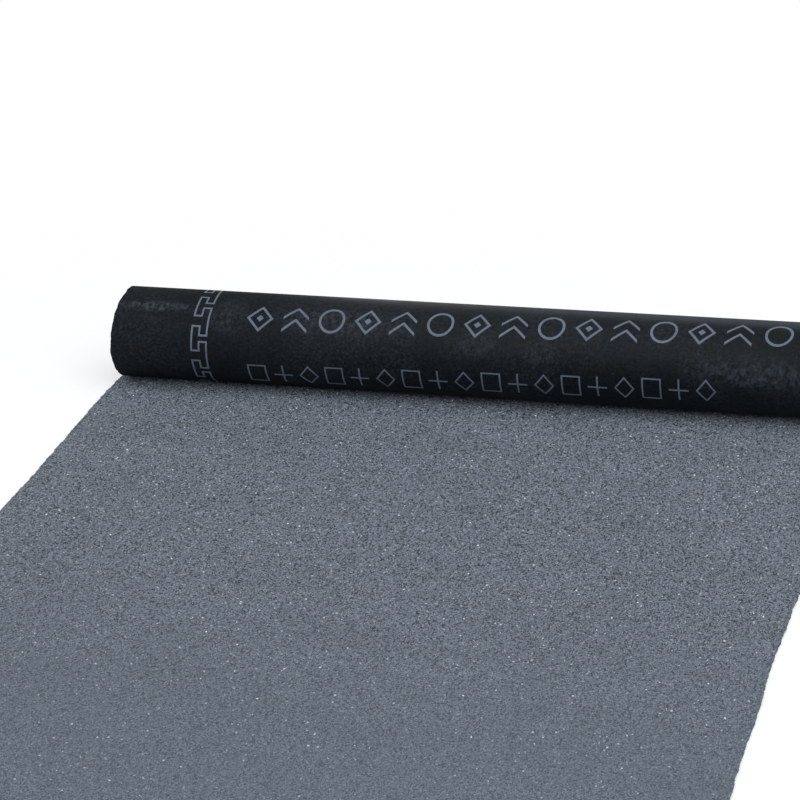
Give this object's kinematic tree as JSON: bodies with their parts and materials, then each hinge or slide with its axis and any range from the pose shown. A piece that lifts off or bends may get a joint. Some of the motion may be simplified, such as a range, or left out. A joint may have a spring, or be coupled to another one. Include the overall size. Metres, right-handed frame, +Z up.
{
  "type": "roll of roofing felt",
  "caption": "Partly unrolled roll of mineral-surfaced roofing felt: a flat granule-faced stretch that winds up into a long black coil.",
  "frame": {"origin": "on the ground, at the middle of the whole object's footprint", "axes": "+X along the coil, +Y from the cut end of the flat stretch towards the coil, +Z up"},
  "size_m": [1, 1.7138, 0.128],
  "materials": {
    "felt": "matte",
    "granules": "matte",
    "film": "satin",
    "print": "matte"
  },
  "bodies": {
    "root": {"roofing_felt": "felt"}
  },
  "joints": []
}
